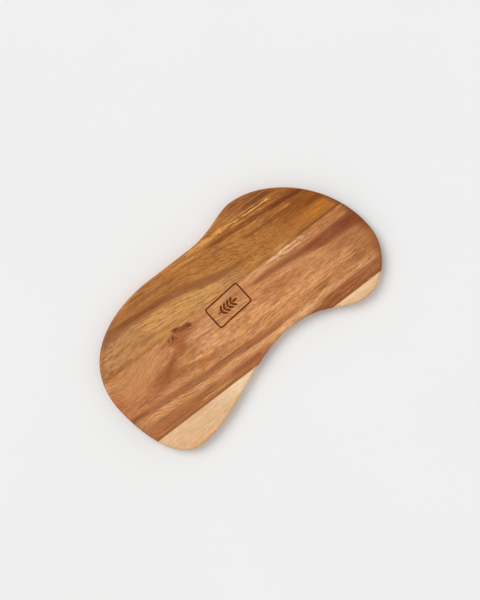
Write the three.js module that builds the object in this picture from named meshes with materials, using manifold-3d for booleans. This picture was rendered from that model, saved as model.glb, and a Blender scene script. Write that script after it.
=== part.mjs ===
// A freeform serving board: three acacia staves glued edge to edge and cut to a waisted outline.
// Millimetres, +Z up. +X runs along the grain from the broad foot to the head, +Y across the grain.
// The origin lies on the underside, in the middle of the outline's box.

import * as THREE from "three";
import { mergeVertices } from "three/addons/utils/BufferGeometryUtils.js";
import Module from "manifold-3d";

// The blank
const BOARD_LENGTH = 373;
const THICKNESS = 15;
const EDGE_ROUND = 3; // radius of the round-over along both rims
const GLUE_FILM = 0.2; // cured glue between two staves

// Widths of the staves as they are glued up, from the toe's side to the crown's side
const SAPWOOD_WIDTH = 35;
const MIDDLE_WIDTH = 93;
const UPPER_WIDTH = 82;

// Landmarks of the outline, where it runs level with the grain or square to it.
// An inset is measured along the grain from the end of the board that the comment names, and a rise or depth
// from the joint between the middle stave and the sapwood. The curve's handles reach "before" and "after".
const HEAD_TIP = { rise: 45, before: 23, after: 73 };
const CROWN = { inset: 117.5, before: 53, after: 18 }; // from the head, on the upper edge
const NAPE = { inset: 190, drop: 15, before: 34 }; // from the head, dropped from the upper edge
const BACK = { inset: 119.5, after: 25 }; // from the foot, level with the nape
const FOOT_TIP = { rise: 66, before: 85, after: 10 };
const TOE = { inset: 54.5, before: 47, after: 57 }; // from the foot, on the lower edge
const WAIST = { inset: 148.5, rise: 12, before: 60, after: 56 }; // from the head
const HEEL = { inset: 54.5, depth: 15, before: 32, after: 32 }; // from the head

// Engraved panel on the top: a rounded frame line with a leaf sprig inside, turned a little from the grain
const PANEL = { x: -5.8, y: 8.2, length: 51.5, height: 30.5, corner: 3.5, line: 2, depth: 0.5, turn: 4.9 };
const SPRIG = { length: 32, stem: 1.6, pairs: 4, leafLength: 9, leafWidth: 3, splay: 48 };

// Smoothness
const OUTLINE_STEPS = 24; // straight steps in each curve of the outline
const ROUND_STEPS = 4; // steps in a round-over
const DETAIL_STEPS = 5; // steps in each curve of the engraving
const CLEAR = 5; // how far a cutting block reaches past the board

// Looks
const FINISHES = {
  golden: new THREE.MeshStandardMaterial({ color: 0xa8733f, roughness: 0.45, metalness: 0 }),
  pinkish: new THREE.MeshStandardMaterial({ color: 0xb8855c, roughness: 0.45, metalness: 0 }),
  sapwood: new THREE.MeshStandardMaterial({ color: 0xdcb688, roughness: 0.5, metalness: 0 }),
  glue: new THREE.MeshStandardMaterial({ color: 0x8a6238, roughness: 0.6, metalness: 0 }),
};

// Edges and joints that follow from the widths
const HEAD_END = BOARD_LENGTH / 2;
const FOOT_END = -BOARD_LENGTH / 2;
const UPPER_EDGE = (SAPWOOD_WIDTH + MIDDLE_WIDTH + UPPER_WIDTH) / 2;
const LOWER_EDGE = -UPPER_EDGE;
const LOWER_JOINT = LOWER_EDGE + SAPWOOD_WIDTH;
const UPPER_JOINT = LOWER_JOINT + MIDDLE_WIDTH;
const WAIST_X = HEAD_END - WAIST.inset;

const wasm = await Module();
wasm.setup();

/** A closed three.js geometry as a solid that can be joined and cut. */
function solidOf(geometry) {
  const bare = geometry.index ? geometry.toNonIndexed() : geometry.clone();
  bare.deleteAttribute("normal");
  bare.deleteAttribute("uv");
  const merged = mergeVertices(bare);
  return new wasm.Manifold(
    new wasm.Mesh({
      numProp: 3,
      vertProperties: merged.attributes.position.array,
      triVerts: Uint32Array.from(merged.index.array),
    }),
  );
}

/** A named mesh of one finished solid. */
function meshOf(name, solid, material) {
  const { vertProperties, triVerts } = solid.getMesh();
  const geometry = new THREE.BufferGeometry();
  geometry.setAttribute("position", new THREE.BufferAttribute(vertProperties, 3));
  geometry.setIndex(new THREE.BufferAttribute(triVerts, 1));
  geometry.computeVertexNormals();
  const mesh = new THREE.Mesh(geometry, material);
  mesh.name = name;
  return mesh;
}

/** The outline, walked counter-clockwise from the head tip through its landmarks. */
function outline() {
  const up = new THREE.Vector2(0, 1);
  const left = new THREE.Vector2(-1, 0);
  const down = new THREE.Vector2(0, -1);
  const right = new THREE.Vector2(1, 0);
  const landmarks = [
    { ...HEAD_TIP, heading: up, at: new THREE.Vector2(HEAD_END, LOWER_JOINT + HEAD_TIP.rise) },
    { ...CROWN, heading: left, at: new THREE.Vector2(HEAD_END - CROWN.inset, UPPER_EDGE) },
    { ...NAPE, heading: left, at: new THREE.Vector2(HEAD_END - NAPE.inset, UPPER_EDGE - NAPE.drop) },
    { ...BACK, heading: left, at: new THREE.Vector2(FOOT_END + BACK.inset, UPPER_EDGE - NAPE.drop) },
    { ...FOOT_TIP, heading: down, at: new THREE.Vector2(FOOT_END, LOWER_JOINT + FOOT_TIP.rise) },
    { ...TOE, heading: right, at: new THREE.Vector2(FOOT_END + TOE.inset, LOWER_EDGE) },
    { ...WAIST, heading: right, at: new THREE.Vector2(WAIST_X, LOWER_JOINT + WAIST.rise) },
    { ...HEEL, heading: right, at: new THREE.Vector2(HEAD_END - HEEL.inset, LOWER_JOINT - HEEL.depth) },
  ];
  const shape = new THREE.Shape();
  shape.moveTo(landmarks[0].at.x, landmarks[0].at.y);
  landmarks.forEach((from, index) => {
    const to = landmarks[(index + 1) % landmarks.length];
    if (from.after === undefined || to.before === undefined) {
      shape.lineTo(to.at.x, to.at.y);
      return;
    }
    const leaving = from.at.clone().addScaledVector(from.heading, from.after);
    const arriving = to.at.clone().addScaledVector(to.heading, -to.before);
    shape.bezierCurveTo(leaving.x, leaving.y, arriving.x, arriving.y, to.at.x, to.at.y);
  });
  return shape;
}

/** The whole board as one blank, rounded over along both rims. */
function blank() {
  const geometry = new THREE.ExtrudeGeometry(outline(), {
    depth: THICKNESS - 2 * EDGE_ROUND,
    bevelThickness: EDGE_ROUND,
    bevelSize: EDGE_ROUND,
    bevelOffset: -EDGE_ROUND,
    bevelSegments: ROUND_STEPS,
    curveSegments: OUTLINE_STEPS,
  });
  geometry.translate(0, 0, EDGE_ROUND);
  return solidOf(geometry);
}

/** A block that reaches past both faces of the board, between two bounds along the grain and two across it. */
function block(fromX, toX, fromY, toY) {
  const geometry = new THREE.BoxGeometry(toX - fromX, toY - fromY, THICKNESS + 2 * CLEAR);
  geometry.translate((fromX + toX) / 2, (fromY + toY) / 2, THICKNESS / 2);
  return solidOf(geometry);
}

/** A rectangle with round corners, centred on the panel. */
function roundedRectangle(length, height, corner) {
  const x = length / 2 - corner;
  const y = height / 2 - corner;
  const quarter = Math.PI / 2;
  const shape = new THREE.Shape();
  shape.absarc(x, y, corner, 0, quarter);
  shape.absarc(-x, y, corner, quarter, 2 * quarter);
  shape.absarc(-x, -y, corner, 2 * quarter, 3 * quarter);
  shape.absarc(x, -y, corner, 3 * quarter, 4 * quarter);
  shape.closePath();
  return shape;
}

/** A pointed leaf that starts at the origin and grows along +X. */
function leaf() {
  const shape = new THREE.Shape();
  shape.moveTo(0, 0);
  shape.quadraticCurveTo(SPRIG.leafLength / 2, -SPRIG.leafWidth, SPRIG.leafLength, 0);
  shape.quadraticCurveTo(SPRIG.leafLength / 2, SPRIG.leafWidth, 0, 0);
  return shape;
}

/** The cutter of one engraved shape, from the groove's floor to past the top, turned and moved in the panel. */
function cutter(shape, x = 0, turn = 0) {
  const geometry = new THREE.ExtrudeGeometry(shape, {
    depth: PANEL.depth + CLEAR,
    bevelEnabled: false,
    curveSegments: DETAIL_STEPS,
  });
  geometry.rotateZ(THREE.MathUtils.degToRad(turn));
  geometry.translate(x, 0, 0);
  geometry.rotateZ(THREE.MathUtils.degToRad(PANEL.turn));
  geometry.translate(PANEL.x, PANEL.y, THICKNESS - PANEL.depth);
  return solidOf(geometry);
}

/** Everything that is engraved: the frame line, the stem, the paired leaves and the leaf at the stem's end. */
function engraving() {
  const frame = roundedRectangle(PANEL.length, PANEL.height, PANEL.corner);
  const inset = 2 * PANEL.line;
  frame.holes.push(roundedRectangle(PANEL.length - inset, PANEL.height - inset, PANEL.corner - PANEL.line));
  const stemLength = SPRIG.length - SPRIG.leafLength;
  const stemStart = -SPRIG.length / 2;
  const stem = new THREE.Shape();
  stem.moveTo(stemStart, -SPRIG.stem / 2);
  stem.lineTo(stemStart + stemLength, -SPRIG.stem / 4);
  stem.lineTo(stemStart + stemLength, SPRIG.stem / 4);
  stem.lineTo(stemStart, SPRIG.stem / 2);
  let cut = cutter(frame).add(cutter(stem));
  cut = cut.add(cutter(leaf(), stemStart + stemLength - SPRIG.stem));
  const spacing = stemLength / (SPRIG.pairs + 0.5);
  for (let pair = 0; pair < SPRIG.pairs; pair += 1) {
    const x = stemStart + (pair + 0.75) * spacing;
    cut = cut.add(cutter(leaf(), x, SPRIG.splay)).add(cutter(leaf(), x, -SPRIG.splay));
  }
  return cut;
}

// The blank is sawn along its joints. Each stave stops half a film short of the joint, and the film fills the slot.
const half = GLUE_FILM / 2;
const foot = FOOT_END - CLEAR;
const head = HEAD_END + CLEAR;
const low = LOWER_EDGE - CLEAR;
const high = UPPER_EDGE + CLEAR;
const pieces = [
  ["upper_stave", FINISHES.golden, block(foot, head, UPPER_JOINT + half, high)],
  ["upper_glue_line", FINISHES.glue, block(foot, head, UPPER_JOINT - half, UPPER_JOINT + half)],
  ["middle_stave", FINISHES.pinkish, block(foot, head, LOWER_JOINT + half, UPPER_JOINT - half)],
  ["toe_glue_line", FINISHES.glue, block(foot, WAIST_X, LOWER_JOINT - half, LOWER_JOINT + half)],
  ["heel_glue_line", FINISHES.glue, block(WAIST_X, head, LOWER_JOINT - half, LOWER_JOINT + half)],
  ["toe_sapwood_stave", FINISHES.sapwood, block(foot, WAIST_X, low, LOWER_JOINT - half)],
  ["heel_sapwood_stave", FINISHES.sapwood, block(WAIST_X, head, low, LOWER_JOINT - half)],
];

const board = new THREE.Group();
const body = blank().subtract(engraving());
for (const [name, finish, share] of pieces) {
  board.add(meshOf(name, body.intersect(share), finish));
}

export default board;
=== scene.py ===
"""Looks of a freeform serving board: acacia staves glued edge to edge and cut to a waisted outline.

Sizes are in metres. The figure of the wood is written in millimetres, in the board's own frame: x along the
grain from the broad foot to the head, y across the grain towards the crown, z up from the underside.
"""

from __future__ import annotations

import logging
import math
from dataclasses import asdict, dataclass, field
from enum import Enum

import bmesh
import bpy
import numpy as np
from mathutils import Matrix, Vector

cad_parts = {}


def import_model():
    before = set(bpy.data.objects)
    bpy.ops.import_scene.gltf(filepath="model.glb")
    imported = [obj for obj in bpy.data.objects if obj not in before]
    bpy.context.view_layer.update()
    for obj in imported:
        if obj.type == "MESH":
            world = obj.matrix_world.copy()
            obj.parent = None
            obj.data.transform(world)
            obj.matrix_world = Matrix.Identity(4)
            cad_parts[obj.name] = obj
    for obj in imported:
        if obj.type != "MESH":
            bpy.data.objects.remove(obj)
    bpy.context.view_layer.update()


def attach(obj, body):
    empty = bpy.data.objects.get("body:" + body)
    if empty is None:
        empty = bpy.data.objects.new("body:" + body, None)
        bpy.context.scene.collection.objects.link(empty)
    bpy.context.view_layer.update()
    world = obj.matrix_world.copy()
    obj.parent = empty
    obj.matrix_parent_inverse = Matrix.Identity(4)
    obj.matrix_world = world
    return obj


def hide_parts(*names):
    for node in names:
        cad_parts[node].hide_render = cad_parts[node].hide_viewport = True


LOG = logging.getLogger("serving_board")
MM = 0.001
BODY = "root"

# Points of a mesh that lie closer than this are one point
WELD_REACH = 0.0005 * MM

# Specular level of oiled wood, and the light that its gloss adds to every colour
SATIN_GLOSS = 0.22
GLOSS_VEIL = 0.014

# Millimetres along and across the grain that the curves of the figure span
ALONG_SPAN = 400.0
ACROSS_SPAN = 240.0

# Shares between which a frayed edge goes from nothing to full, and the length up to which a fade is left out
FRAYED_EDGE = (0.05, 0.95)
NO_FADE = 1.0

Colour = tuple[float, float, float, float]
Tint = tuple[int, int, int]
Point = tuple[float, float]
Path = tuple[Point, ...]


def srgb(red: int, green: int, blue: int) -> Colour:
    """A colour as a screen shows it, in steps of 255, as the linear numbers that a shader takes.

    Args:
        red, green, blue: The screen's three channels.

    Returns:
        Linear red, green and blue, and full opacity.
    """
    shares = (channel / 255 for channel in (red, green, blue))
    linear = [((share + 0.055) / 1.055) ** 2.4 if share > 0.04045 else share / 12.92 for share in shares]
    return (linear[0], linear[1], linear[2], 1.0)


def oiled(red: int, green: int, blue: int) -> Colour:
    """The body colour of oiled wood that shows as a screen colour once its thin gloss is laid on top."""
    return (*(max(channel - GLOSS_VEIL, 0.0) for channel in srgb(red, green, blue)[:3]), 1.0)


# The board's outline and its staves


@dataclass(frozen=True)
class Landmark:
    """A place where the outline runs level with the grain or square to it.

    The curves on either side leave along the heading, with handles of the two lengths.
    """

    x: float
    y: float
    heading: Point
    before: float
    after: float


class Run(Enum):
    """A part of the outline that only rises or only falls across the grain, from one landmark to another."""

    CROWN_TO_TOE = (1, 5)
    TOE_TO_WAIST = (5, 6)
    WAIST_TO_HEEL = (6, 7)
    HEEL_TO_CROWN = (7, 9)


@dataclass(frozen=True)
class Board:
    """Sizes of the glued-up blank and of the outline that it is cut to.

    The toe's inset is measured along the grain from the foot, and the other insets from the head. A rise or
    depth is measured from the joint between the middle stave and the sapwood, and the nape's drop from the
    upper edge.
    """

    length: float = 373 * MM
    thickness: float = 15 * MM
    edge_round: float = 3 * MM
    glue_film: float = 0.2 * MM
    sapwood_width: float = 35 * MM
    middle_width: float = 93 * MM
    upper_width: float = 82 * MM
    head_rise: float = 45 * MM
    crown_inset: float = 117.5 * MM
    nape_inset: float = 190 * MM
    nape_drop: float = 15 * MM
    back_length: float = 63.5 * MM
    foot_rise: float = 66 * MM
    toe_inset: float = 54.5 * MM
    waist_inset: float = 148.5 * MM
    waist_rise: float = 12 * MM
    heel_inset: float = 54.5 * MM
    heel_depth: float = 15 * MM

    @property
    def upper_edge(self) -> float:
        """Where the crown touches the blank's upper edge, across the grain."""
        return (self.sapwood_width + self.middle_width + self.upper_width) / 2

    @property
    def lower_joint(self) -> float:
        """Middle of the joint between the sapwood and the middle stave, across the grain."""
        return self.sapwood_width - self.upper_edge

    @property
    def upper_joint(self) -> float:
        """Middle of the joint between the middle and the upper stave, across the grain."""
        return self.lower_joint + self.middle_width

    def landmarks(self) -> tuple[Landmark, ...]:
        """The outline's landmarks, counter-clockwise from the head tip.

        Returns:
            The head tip, crown, nape, end of the straight back, foot tip, toe, waist and heel.
        """
        up, left, down, right = (0.0, 1.0), (-1.0, 0.0), (0.0, -1.0), (1.0, 0.0)
        head, top, joint = self.length / 2, self.upper_edge, self.lower_joint
        nape, dip = head - self.nape_inset, top - self.nape_drop
        third = self.back_length / 3
        return (
            Landmark(head, joint + self.head_rise, up, before=23 * MM, after=73 * MM),
            Landmark(head - self.crown_inset, top, left, before=53 * MM, after=18 * MM),
            Landmark(nape, dip, left, before=34 * MM, after=third),
            Landmark(nape - self.back_length, dip, left, before=third, after=25 * MM),
            Landmark(-head, joint + self.foot_rise, down, before=85 * MM, after=10 * MM),
            Landmark(self.toe_inset - head, -top, right, before=47 * MM, after=57 * MM),
            Landmark(head - self.waist_inset, joint + self.waist_rise, right, before=60 * MM, after=56 * MM),
            Landmark(head - self.heel_inset, joint - self.heel_depth, right, before=32 * MM, after=32 * MM),
        )


@dataclass(frozen=True)
class Outline:
    """The board seen from above: a closed chain of cubic curves, one from each landmark to the next."""

    landmarks: tuple[Landmark, ...]
    search_steps: int = 600

    def controls(self) -> np.ndarray:
        """The four control points of every curve.

        Returns:
            An array of curves by four by two.
        """
        at = np.array([(mark.x, mark.y) for mark in self.landmarks])
        heading = np.array([mark.heading for mark in self.landmarks])
        before = np.array([[mark.before] for mark in self.landmarks])
        after = np.array([[mark.after] for mark in self.landmarks])
        arriving = np.roll(at - before * heading, -1, axis=0)
        return np.stack([at, at + after * heading, arriving, np.roll(at, -1, axis=0)], axis=1)

    def place(self, turn: np.ndarray, inset: float) -> np.ndarray:
        """Points of the outline, moved inwards.

        The whole part of turn picks the curve and its fraction u the place on it: the cubic Bernstein sum of
        the control points, less inset times the outward normal, which is the tangent turned a quarter
        clockwise.

        Args:
            turn: Places along the outline, one unit for each curve.
            inset: How far the points move inwards.

        Returns:
            An array of points, two numbers each.
        """
        whole = np.floor(turn)
        u = turn - whole
        v = 1 - u
        controls = self.controls()[whole.astype(int) % len(self.landmarks)]
        weights = np.stack([v**3, 3 * u * v**2, 3 * u**2 * v, u**3], axis=-1)
        slopes = np.stack([-(v**2), v**2 - 2 * u * v, 2 * u * v - u**2, u**2], axis=-1)
        point = (weights[..., None] * controls).sum(axis=-2)
        tangent = (slopes[..., None] * controls).sum(axis=-2)
        tangent /= np.linalg.norm(tangent, axis=-1, keepdims=True)
        outward = np.stack([tangent[..., 1], -tangent[..., 0]], axis=-1)
        return point - inset * outward

    def crossing(self, run: Run, level: float, inset: float) -> float:
        """Where an inset outline crosses a level across the grain, read off a fine sampling of one run.

        Args:
            run: The part of the outline to look in.
            level: The level across the grain.
            inset: How far the outline is moved inwards.

        Returns:
            The place along the outline.
        """
        turn = np.linspace(*run.value, self.search_steps)
        height = self.place(turn, inset)[:, 1]
        rising = height[-1] > height[0]
        order = slice(None) if rising else slice(None, None, -1)
        return float(np.interp(level, height[order], turn[order]))


@dataclass(frozen=True)
class Rim:
    """Section of the board's edge: a quarter round from each face, and a straight wall between them."""

    board: Board
    round_steps: int = 8
    ledge: float = 1 * MM

    def section(self) -> tuple[np.ndarray, np.ndarray]:
        """Insets and heights of the section's points, from a ledge on the top to one on the underside.

        At the angle a of a quarter round, the inset is radius times one less the sine of a, and the drop from
        the face is radius times one less the cosine of a.

        Returns:
            The insets and the heights.
        """
        radius = self.board.edge_round
        angle = np.linspace(0, math.pi / 2, self.round_steps + 1)
        inset = np.concatenate([[radius + self.ledge], radius * (1 - np.sin(angle))])
        drop = np.concatenate([[0.0], radius * (1 - np.cos(angle))])
        return np.concatenate([inset, inset[::-1]]), np.concatenate([self.board.thickness - drop, drop[::-1]])


@dataclass(frozen=True)
class Reach:
    """A stretch of rim between two levels across the grain, walked counter-clockwise."""

    start: tuple[Run, float]
    end: tuple[Run, float]
    steps: int


@dataclass
class SawnPiece:
    """A piece of the board between saw cuts: stretches of rim, joined by straight cuts along the grain."""

    name: str
    node: str
    slot: str
    board: Board
    reaches: list[Reach]
    finish: Finish
    face_rows: int = 2
    smooth_under: float = math.radians(35)
    object: bpy.types.Object | None = None

    def front(self) -> np.ndarray:
        """The rim's section carried along the piece's reaches.

        Each point of the section walks its own inset outline from one level to the other, so that every row
        ends exactly in the saw cuts. The step from one reach to the next is a straight cut.

        Returns:
            An array of section points by places along the piece by three.
        """
        outline = Outline(self.board.landmarks())
        curves = len(outline.landmarks)
        rows = []
        for inset, height in zip(*Rim(self.board).section(), strict=True):
            row = []
            for reach in self.reaches:
                first = outline.crossing(*reach.start, inset)
                last = outline.crossing(*reach.end, inset)
                if last < first:
                    last += curves
                line = outline.place(np.linspace(first, last, reach.steps), inset)
                line[0, 1] = reach.start[1]
                line[-1, 1] = reach.end[1]
                row.append(np.column_stack([line, np.full(reach.steps, height)]))
            rows.append(np.concatenate(row))
        return np.array(rows)

    def grid(self) -> np.ndarray:
        """The whole piece as one closed grid.

        The front runs down the rim. The back is the last saw cut: straight rows between the ends of the
        front's rows, divided as the front is by its length. The underside and the top are ruled between them.

        Returns:
            An array of rows round the piece by places along it by three.
        """
        front = self.front()
        step = np.linalg.norm(np.diff(front[0], axis=0), axis=1)
        share = np.concatenate([[0.0], np.cumsum(step)]) / step.sum()
        back = front[:, :1] + share[None, :, None] * (front[:, -1:] - front[:, :1])
        ruling = np.linspace(0, 1, self.face_rows + 2)[1:-1, None, None]
        underside = front[-1] + ruling * (back[-1] - front[-1])
        top = back[0] + ruling * (front[0] - back[0])
        return np.concatenate([front, underside, back[::-1], top])

    def build(self) -> None:
        """Makes the mesh and puts it in the scene."""
        self.object = put(self.name, skin(self.name, self.grid()))

    def dress(self) -> None:
        """Gives the piece its finish, and ties it to its body and its node."""
        mesh = self.object.data
        mesh.shade_smooth()
        mesh.set_sharp_from_angle(angle=self.smooth_under)
        mesh.materials.clear()
        mesh.materials.append(self.finish.material())
        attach(self.object, BODY)
        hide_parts(self.node)
        LOG.info("%s: %d faces, stands for %s", self.name, len(mesh.polygons), self.node)


def put(name: str, data: bpy.types.ID) -> bpy.types.Object:
    """Puts a mesh, lamp or camera in the scene.

    Args:
        name: The object's name.
        data: What it holds.

    Returns:
        The object.
    """
    placed = bpy.data.objects.new(name, data)
    bpy.context.scene.collection.objects.link(placed)
    return placed


def skin(name: str, grid: np.ndarray) -> bpy.types.Mesh:
    """A closed mesh over a grid of points that comes round to its first row again.

    Doubled points are joined, faces that close up dropped, open ends filled and all faces turned outwards.

    Args:
        name: The mesh's name.
        grid: An array of rows by places along them by three.

    Returns:
        The mesh.
    """
    rows, places = grid.shape[:2]
    index = np.arange(rows * places).reshape(rows, places)
    under = np.roll(index, -1, axis=0)
    faces = np.stack([index[:, :-1], under[:, :-1], under[:, 1:], index[:, 1:]], axis=-1)
    mesh = bpy.data.meshes.new(name)
    mesh.from_pydata(grid.reshape(-1, 3).tolist(), [], faces.reshape(-1, 4).tolist())
    work = bmesh.new()
    work.from_mesh(mesh)
    bmesh.ops.remove_doubles(work, verts=work.verts, dist=WELD_REACH)
    bmesh.ops.dissolve_degenerate(work, edges=work.edges, dist=WELD_REACH)
    bmesh.ops.holes_fill(work, edges=[edge for edge in work.edges if edge.is_boundary])
    bmesh.ops.recalc_face_normals(work, faces=work.faces)
    work.to_mesh(mesh)
    work.free()
    return mesh


@dataclass(frozen=True)
class EngravedPanel:
    """A rounded frame line and a leaf sprig, burnt a little way into the top.

    Along the stem, the pairs of leaves are one spacing apart. Some of a spacing lies before the first pair,
    and some is left over at the end. The burn's own depths and its edge are in millimetres.
    """

    board: Board
    centre: Point = (-5.8 * MM, 8.2 * MM)
    length: float = 51.5 * MM
    height: float = 30.5 * MM
    corner: float = 3.5 * MM
    line: float = 2 * MM
    depth: float = 0.5 * MM
    turn: float = math.radians(4.9)
    sprig_length: float = 32 * MM
    stem: float = 1.6 * MM
    pairs: int = 4
    before_pairs: float = 0.75
    left_over: float = 0.5
    leaf_length: float = 9 * MM
    leaf_width: float = 3 * MM
    splay: float = math.radians(48)
    burnt: Colour = oiled(112, 56, 6)
    burnt_roughness: float = 0.35
    burn_edge: float = 0.5
    burn_from: Point = (0.01, 0.06)
    burn_to: Point = (1.0, 2.0)
    blunt_end: float = 0.05 * MM
    end_depth: float = 0.7
    corner_steps: int = 7
    leaf_steps: int = 11
    stem_steps: int = 14
    section_steps: int = 20
    squareness: float = 0.45

    def gouge(
        self, path: np.ndarray, sideways: np.ndarray, half_width: np.ndarray, deep: np.ndarray
    ) -> np.ndarray:
        """The body that the tool burns away: a rounded box section carried along a path in the top face.

        At the angle a round the section, a point lies half_width times the cosine of a to the side of the
        path, and deep times the sine of a above the top. Both are drawn out towards the corners by a root
        that keeps the sign. The angles are moved on by half a step, so that no point lies in the top face.

        Args:
            path: Points in the panel, two numbers each.
            sideways: Unit vectors across the path.
            half_width: Half the cut's width at each point.
            deep: The cut's depth at each point.

        Returns:
            An array of places along the path by points round the section by three.
        """
        angle = (np.arange(self.section_steps) + 0.5) * 2 * math.pi / self.section_steps
        sidewards = np.sign(np.cos(angle)) * np.abs(np.cos(angle)) ** self.squareness
        upwards = np.sign(np.sin(angle)) * np.abs(np.sin(angle)) ** self.squareness
        aside = half_width[:, None] * sidewards
        plan = path[:, None, :] + aside[..., None] * sideways[:, None, :]
        cosine, sine = math.cos(self.turn), math.sin(self.turn)
        x = self.centre[0] + cosine * plan[..., 0] - sine * plan[..., 1]
        y = self.centre[1] + sine * plan[..., 0] + cosine * plan[..., 1]
        z = self.board.thickness + deep[:, None] * upwards
        return np.stack([x, y, z], axis=-1)

    def frame_line(self) -> np.ndarray:
        """The frame: four quarter arcs about the corners' centres, joined by straight sides.

        Returns:
            The body to cut out, closed on itself.
        """
        middle = self.corner - self.line / 2
        across = np.array([self.length / 2 - self.corner, self.height / 2 - self.corner])
        quarter = np.linspace(0, math.pi / 2, self.corner_steps)
        angle = (np.arange(4)[:, None] * math.pi / 2 + quarter).ravel()
        outward = np.column_stack([np.cos(angle), np.sin(angle)])
        signs = np.repeat([[1, 1], [-1, 1], [-1, -1], [1, -1]], self.corner_steps, axis=0)
        path = signs * across + middle * outward
        even = np.ones(angle.size)
        body = self.gouge(path, outward, self.line / 2 * even, self.depth * even)
        return np.concatenate([body, body[:1]])

    def leaf(self, base: float, lean: float) -> np.ndarray:
        """One leaf: its width and depth follow the parabola 4 u (1 - u) from its base to its tip.

        Args:
            base: Where the leaf starts, along the sprig.
            lean: The leaf's turn from the sprig.

        Returns:
            The body to cut out.
        """
        u = np.linspace(0, 1, self.leaf_steps)
        swell = 4 * u * (1 - u)
        along = np.array([math.cos(lean), math.sin(lean)])
        path = np.array([base, 0.0]) + u[:, None] * self.leaf_length * along
        aside = np.tile([-along[1], along[0]], (u.size, 1))
        half_width = self.blunt_end + (self.leaf_width / 2 - self.blunt_end) * swell
        deep = self.depth * (self.end_depth + (1 - self.end_depth) * swell)
        return self.gouge(path, aside, half_width, deep)

    def stem_line(self, start: float, length: float) -> np.ndarray:
        """The stem: it narrows evenly from its full width at its start to half of that at its end.

        Args:
            start: Where the stem starts, along the sprig.
            length: From its start to its end.

        Returns:
            The body to cut out.
        """
        u = np.linspace(0, 1, self.stem_steps)
        path = np.column_stack([start + u * length, np.zeros(u.size)])
        aside = np.tile([0.0, 1.0], (u.size, 1))
        return self.gouge(path, aside, self.stem / 2 * (1 - u / 2), np.full(u.size, self.depth))

    def bodies(self) -> list[np.ndarray]:
        """Everything that is cut.

        Returns:
            The frame, the stem, the leaf at its end and the pairs along it.
        """
        start = -self.sprig_length / 2
        stem_length = self.sprig_length - self.leaf_length
        spacing = stem_length / (self.pairs + self.left_over)
        bodies = [self.frame_line(), self.stem_line(start, stem_length)]
        bodies.append(self.leaf(start + stem_length - self.stem, 0.0))
        for pair in range(self.pairs):
            base = start + (pair + self.before_pairs) * spacing
            bodies.append(self.leaf(base, self.splay))
            bodies.append(self.leaf(base, -self.splay))
        return bodies

    def cut(self, piece: bpy.types.Object) -> None:
        """Cuts the whole engraving out of a piece, and keeps the result as the piece's own mesh.

        Args:
            piece: The piece to engrave.
        """
        for number, body in enumerate(self.bodies()):
            mesh = skin(f"gouge_{number}", np.swapaxes(body, 0, 1))
            tool = put(mesh.name, mesh)
            boolean = piece.modifiers.new("engraving", "BOOLEAN")
            boolean.operation = "DIFFERENCE"
            boolean.solver = "MANIFOLD"
            boolean.object = tool
            graph = bpy.context.evaluated_depsgraph_get()
            carved = bpy.data.meshes.new_from_object(piece.evaluated_get(graph))
            piece.modifiers.clear()
            piece.data = carved
            bpy.data.objects.remove(tool)
            bpy.data.meshes.remove(mesh)

    def scorch(self, x: Field, y: Field, depth: Field) -> Field:
        """Where the engraving has burnt the wood: just below the top, inside the panel's box.

        Args:
            x, y: The place on the board, in millimetres.
            depth: How far below the top it is, in millimetres.

        Returns:
            The burnt share, from 0 to 1.
        """
        nodes = x.nodes
        centre = (self.centre[0] / MM, self.centre[1] / MM)
        along, aside, _ = nodes.split(nodes.turned(nodes.join(x, y, 0.0), math.degrees(self.turn), centre))
        half_length, half_height = self.length / 2 / MM, self.height / 2 / MM
        inside = nodes.ease(abs(along), half_length, half_length + self.burn_edge, 1.0, 0.0)
        inside = inside * nodes.ease(abs(aside), half_height, half_height + self.burn_edge, 1.0, 0.0)
        cut = nodes.ease(depth, *self.burn_from) * nodes.ease(depth, *self.burn_to, 1.0, 0.0)
        return inside * cut


# Shader maths


class Field:
    """A value that varies over a surface. A sum of fields and numbers adds the nodes that work it out."""

    def __init__(self, nodes: Nodes, socket: bpy.types.NodeSocket) -> None:
        """Wraps a node's output."""
        self.nodes = nodes
        self.socket = socket

    def __add__(self, other: Operand) -> Field:
        """This field plus another value."""
        return self.nodes.math("ADD", self, other)

    def __sub__(self, other: Operand) -> Field:
        """This field less another value."""
        return self.nodes.math("SUBTRACT", self, other)

    def __rsub__(self, other: Operand) -> Field:
        """Another value less this field."""
        return self.nodes.math("SUBTRACT", other, self)

    def __mul__(self, other: Operand) -> Field:
        """This field times another value."""
        return self.nodes.math("MULTIPLY", self, other)

    def __truediv__(self, other: Operand) -> Field:
        """This field divided by another value."""
        return self.nodes.math("DIVIDE", self, other)

    def __rtruediv__(self, other: Operand) -> Field:
        """Another value divided by this field."""
        return self.nodes.math("DIVIDE", other, self)

    def __abs__(self) -> Field:
        """This field without its sign."""
        return self.nodes.math("ABSOLUTE", self)

    __radd__ = __add__
    __rmul__ = __mul__


Operand = Field | float
Value = Field | float | tuple[float, ...]


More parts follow.
